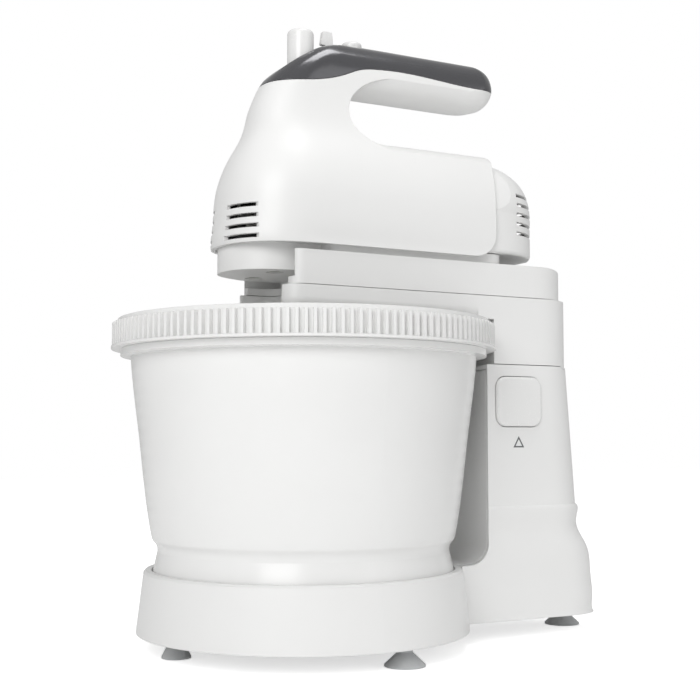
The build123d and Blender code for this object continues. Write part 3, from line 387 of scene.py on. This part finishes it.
class MIXER_OT_trims(bpy.types.Operator):
    """Gives the cap, feet, gears and inner pieces their finishes"""
    bl_idname = "mixer.trims"
    bl_label = "Cap, feet and works"

    def execute(self, context):
        finish = context.scene.mixer_finish
        dress(("handle_cap",), graphite_abs("flaked_graphite_abs", finish.graphite, finish.fleck))
        dress(RUBBER, soft_rubber("soft_grey_rubber", finish.rubber, finish.dust))
        dress(NYLON, natural_nylon("natural_nylon", finish.nylon, finish.nylon_shade))
        dress(BLACK, filled_nylon("glass_filled_black_nylon", finish.black, finish.fibre))
        dress(STEEL, zinc_steel("zinc_plated_steel", finish.steel, finish.steel_tint))
        dress(LAMINATIONS, stamped_laminations("varnished_laminations", finish.lamination, finish.black))
        dress(BRONZE, sintered_bronze("sintered_bronze", finish.bronze, finish.pore))
        return {"FINISHED"}


class MIXER_OT_sign(bpy.types.Operator):
    """Prints the open triangle below the release button"""
    bl_idname = "mixer.sign"
    bl_label = "Triangle sign"

    def execute(self, context):
        sizes = context.scene.mixer_sizes
        button_low, button_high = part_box("release_button")
        middle = (button_low[1] + button_high[1]) / 2
        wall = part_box("arm_upper")[1][0]
        level = button_low[2] - sizes.sign_drop
        bpy.ops.object.select_all(action="DESELECT")
        bpy.ops.mesh.primitive_circle_add(vertices=3, radius=sizes.sign_size, fill_type="NGON",
                                          location=(wall, middle, level),
                                          rotation=(math.pi / 2, 0, math.pi / 2))
        sign = context.object
        bpy.ops.object.mode_set(mode="EDIT")
        bpy.ops.mesh.select_all(action="SELECT")
        bpy.ops.mesh.inset(thickness=sizes.sign_stroke)
        bpy.ops.mesh.delete(type="FACE")
        bpy.ops.mesh.select_all(action="SELECT")
        bpy.ops.mesh.extrude_region_move(TRANSFORM_OT_translate={"value": (sizes.ink, 0, 0)})
        bpy.ops.mesh.select_all(action="SELECT")
        bpy.ops.mesh.normals_make_consistent(inside=False)
        bpy.ops.object.mode_set(mode="OBJECT")
        finish = context.scene.mixer_finish
        ink = printed_ink("pad_printed_ink", finish.ink, finish.ink_thin)
        seat(sign, "triangle_sign", "stand", ink)
        return {"FINISHED"}


class MIXER_OT_stage(bpy.types.Operator):
    """Adds the floor, the lamps and the camera"""
    bl_idname = "mixer.stage"
    bl_label = "Stage"

    def execute(self, context):
        stage = context.scene.mixer_stage
        scene = context.scene
        scene.view_settings.view_transform = "Standard"

        world = bpy.data.worlds.new("studio")
        world.use_nodes = True
        scene.world = world
        tree = world.node_tree
        tree.nodes.clear()
        out = tree.nodes.new("ShaderNodeOutputWorld")
        path = add(tree, "ShaderNodeLightPath")
        seen = add(tree, "ShaderNodeMath", {"operation": "MAXIMUM"}, _0=path.outputs["Is Camera Ray"],
                   _1=path.outputs["Is Transmission Ray"])
        even = add(tree, "ShaderNodeBackground", Color=(1, 1, 1, 1), Strength=stage.world)
        back = add(tree, "ShaderNodeBackground", Color=(1, 1, 1, 1), Strength=1.0)
        mixed = add(tree, "ShaderNodeMixShader", _0=seen.outputs["Value"], _1=even.outputs["Background"],
                    _2=back.outputs["Background"])
        tree.links.new(mixed.outputs["Shader"], out.inputs["Surface"])

        bpy.ops.object.select_all(action="DESELECT")
        bpy.ops.mesh.primitive_plane_add(size=FLOOR_WIDTH, location=(0, 0, -FLOOR_GAP))
        floor = context.object
        floor.name = "floor"
        material, tree, out = start("pale_floor")
        path = add(tree, "ShaderNodeLightPath")
        matt = add(tree, "ShaderNodeBsdfDiffuse", Color=linear(stage.floor))
        glow = add(tree, "ShaderNodeMath", {"operation": "MULTIPLY"}, _0=path.outputs["Is Camera Ray"],
                   _1=stage.floor_glow)
        lit = add(tree, "ShaderNodeEmission", Color=(1, 1, 1, 1), Strength=glow.outputs["Value"])
        mixed = add(tree, "ShaderNodeAddShader", _0=matt.outputs["BSDF"], _1=lit.outputs["Emission"])
        tree.links.new(mixed.outputs["Shader"], out.inputs["Surface"])
        floor.data.materials.append(material)

        for name, place, aim, size, power in LAMPS:
            lamp = bpy.data.lights.new(name, "AREA")
            lamp.energy = power
            lamp.size = size
            piece = bpy.data.objects.new(name, lamp)
            scene.collection.objects.link(piece)
            piece.location = place
            piece.rotation_euler = (Vector(aim) - Vector(place)).to_track_quat("-Z", "Y").to_euler()

        camera = bpy.data.cameras.new("photo_camera")
        camera.lens = stage.lens
        camera.sensor_width = SENSOR_MM
        camera.clip_start = NEAR_CLIP
        eye = bpy.data.objects.new("photo_camera", camera)
        scene.collection.objects.link(eye)
        turn, lift = stage.heading, stage.pitch
        look = Vector((-math.cos(turn) * math.cos(lift), math.sin(turn) * math.cos(lift), math.sin(lift)))
        eye.location = stage.eye
        eye.rotation_euler = look.to_track_quat("-Z", "Y").to_euler()
        scene.camera = eye
        return {"FINISHED"}


class MIXER_PT_panel(bpy.types.Panel):
    """Lists the steps in the sidebar"""
    bl_idname = "MIXER_PT_panel"
    bl_label = "Mixer"
    bl_space_type = "VIEW_3D"
    bl_region_type = "UI"
    bl_category = "Mixer"

    def draw(self, context):
        for step in STEPS:
            self.layout.operator(step)


STEPS = ("mixer.mouldings", "mixer.trims", "mixer.sign", "mixer.stage")
CLASSES = (MixerFinish, MixerSizes, MixerStage, MIXER_OT_mouldings, MIXER_OT_trims, MIXER_OT_sign,
           MIXER_OT_stage, MIXER_PT_panel)


def register():
    for item in CLASSES:
        bpy.utils.register_class(item)
    bpy.types.Scene.mixer_finish = PointerProperty(type=MixerFinish)
    bpy.types.Scene.mixer_sizes = PointerProperty(type=MixerSizes)
    bpy.types.Scene.mixer_stage = PointerProperty(type=MixerStage)


def unregister():
    del bpy.types.Scene.mixer_stage
    del bpy.types.Scene.mixer_sizes
    del bpy.types.Scene.mixer_finish
    for item in reversed(CLASSES):
        bpy.utils.unregister_class(item)


def main():
    register()
    bpy.ops.mixer.mouldings()
    bpy.ops.mixer.trims()
    bpy.ops.mixer.sign()
    bpy.ops.mixer.stage()


if __name__ == "__main__":
    main()
